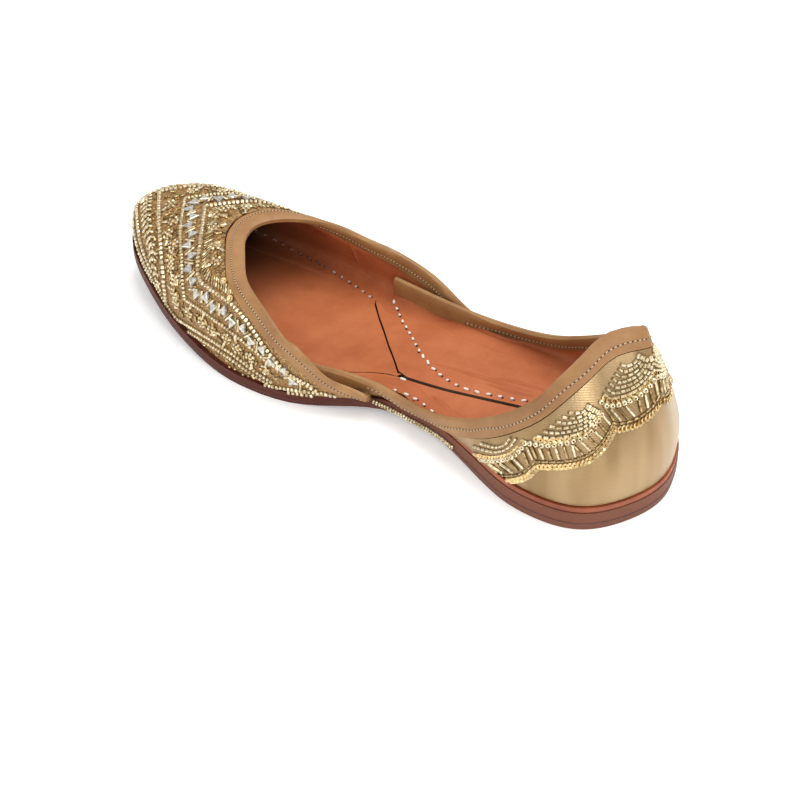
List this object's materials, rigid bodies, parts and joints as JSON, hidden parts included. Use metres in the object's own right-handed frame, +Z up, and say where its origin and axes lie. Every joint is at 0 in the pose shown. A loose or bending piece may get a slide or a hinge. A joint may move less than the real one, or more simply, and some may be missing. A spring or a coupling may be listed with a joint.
{
  "type": "mojari shoe",
  "caption": "Flat embroidered mojari slipper with a rounded-point toe, U throat, low waist and a peaked heel; thin leather sole, one hollow upper, bound edges.",
  "frame": {"origin": "on the floor, in the middle of the shoe's length and width", "axes": "+X towards the toe, +Y towards the wearer's left, which is the inner side of this right shoe, +Z up"},
  "size_m": [0.236, 0.0786, 0.0679],
  "materials": {
    "sole_leather": "burnished",
    "lift_leather": "burnished",
    "rand_leather": "satin",
    "satin": "satin",
    "binding_leather": "satin",
    "footbed_leather": "satin"
  },
  "bodies": {
    "root": {"outsole": "sole_leather", "heel_lift": "lift_leather", "rand": "rand_leather", "upper": "satin", "vamp_binding": "binding_leather", "quarter_binding": "binding_leather", "insole": "footbed_leather", "flap_left": "footbed_leather", "flap_right": "footbed_leather"}
  },
  "joints": []
}
